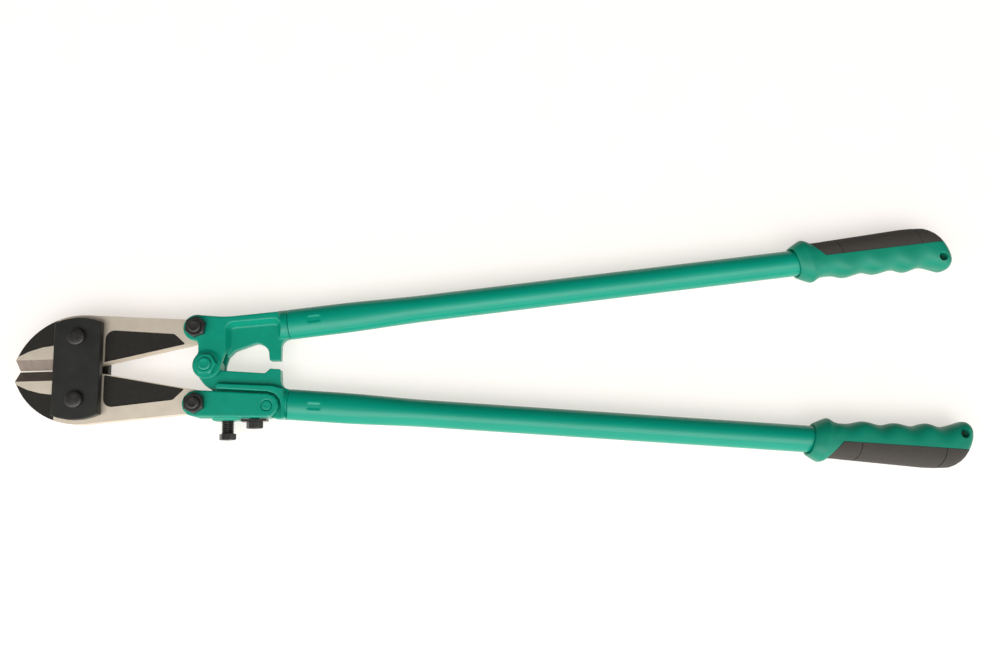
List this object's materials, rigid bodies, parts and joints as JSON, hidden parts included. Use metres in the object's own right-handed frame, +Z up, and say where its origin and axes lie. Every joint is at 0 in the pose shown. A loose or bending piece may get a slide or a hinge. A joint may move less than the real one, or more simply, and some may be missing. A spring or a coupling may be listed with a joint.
{
  "type": "bolt cutters",
  "caption": "Long-handled compound-lever bolt cutters with forged jaws, cast levers, steel tube handles and two-colour grips.",
  "frame": {"origin": "centre of the bounding box in X and Y, at the lowest point in Z; the tool lies flat", "axes": "+X from the jaws to the grips, +Y across the handles towards the fixed lever, +Z up through the pivot pins"},
  "size_m": [0.8902, 0.2354, 0.0416],
  "materials": {
    "ground_steel": "forged alloy steel, surface ground",
    "strap_steel": "steel plate, black oxide",
    "black_fasteners": "steel, black oxide, oiled",
    "green_casting": "cast iron, gloss enamel",
    "green_tube": "steel tube, gloss powder coat",
    "green_grip": "moulded, satin",
    "grey_rubber": "soft moulded inlay, fine diagonal ribs"
  },
  "bodies": {
    "head_straps": {"front_strap": "strap_steel", "back_strap": "strap_steel", "upper_strap_bolt": "black_fasteners", "lower_strap_bolt": "black_fasteners", "upper_strap_nut": "black_fasteners", "lower_strap_nut": "black_fasteners"},
    "upper_jaw_body": {"upper_jaw": "ground_steel"},
    "lower_jaw_body": {"lower_jaw": "ground_steel"},
    "upper_handle": {"upper_casting": "green_casting", "upper_tube": "green_tube", "upper_grip": "green_grip", "upper_grip_pad": "grey_rubber", "upper_jaw_bolt": "black_fasteners", "upper_jaw_nut": "black_fasteners", "centre_bolt": "green_casting", "centre_nut": "green_casting"},
    "link_body": {"adjusting_link": "green_casting", "lower_jaw_bolt": "black_fasteners", "lower_jaw_nut": "black_fasteners", "link_pin": "green_casting", "lock_washer": "black_fasteners"},
    "lower_handle": {"lower_casting": "green_casting", "lower_tube": "green_tube", "lower_grip": "green_grip", "lower_grip_pad": "grey_rubber"},
    "adjusting_screw_body": {"adjusting_screw": "black_fasteners"},
    "lock_bolt_body": {"lock_bolt": "black_fasteners"}
  },
  "joints": [
    {"name": "handles_open", "type": "hinge", "parent": "upper_jaw_body", "child": "upper_handle", "pos_m": [-0.28044, 0.0352, 0.0203], "axis": [0, 0, 1], "range_deg": [-3.1, 53]},
    {"name": "upper_jaw_pivot", "type": "hinge", "parent": "head_straps", "child": "upper_jaw_body", "pos_m": [-0.38744, 0.0288, 0.0203], "axis": [0, 0, 1], "range_deg": [-8.3, 0.5]},
    {"name": "lower_jaw_pivot", "type": "hinge", "parent": "head_straps", "child": "lower_jaw_body", "pos_m": [-0.38744, -0.0288, 0.0203], "axis": [0, 0, 1], "range_deg": [-0.5, 8.3]},
    {"name": "link_to_jaw_pivot", "type": "hinge", "parent": "lower_jaw_body", "child": "link_body", "pos_m": [-0.28044, -0.0352, 0.0203], "axis": [0, 0, 1], "range_deg": [-53.1, 3.2]},
    {"name": "blade_gap_adjuster", "type": "hinge", "parent": "link_body", "child": "lower_handle", "pos_m": [-0.21584, -0.039, 0.0203], "axis": [0, 0, 1], "range_deg": [-0.7, 0.5]},
    {"name": "adjusting_screw_travel", "type": "slide", "parent": "link_body", "child": "adjusting_screw_body", "axis": [0, 1, 0], "range_m": [-0.0004, 0.0005]},
    {"name": "lock_bolt_turn", "type": "hinge", "parent": "lower_handle", "child": "lock_bolt_body", "pos_m": [-0.22864, -0.05, 0.0203], "axis": [0, 1, 0], "range_deg": [-180, 180]}
  ],
  "couplings": [
    {"joint": "upper_jaw_pivot", "follows": "handles_open", "ratio": -0.155},
    {"joint": "lower_jaw_pivot", "follows": "handles_open", "ratio": 0.155},
    {"joint": "link_to_jaw_pivot", "follows": "handles_open", "ratio": -1},
    {"joint": "adjusting_screw_travel", "follows": "blade_gap_adjuster", "m_per_rad": -0.0373}
  ]
}
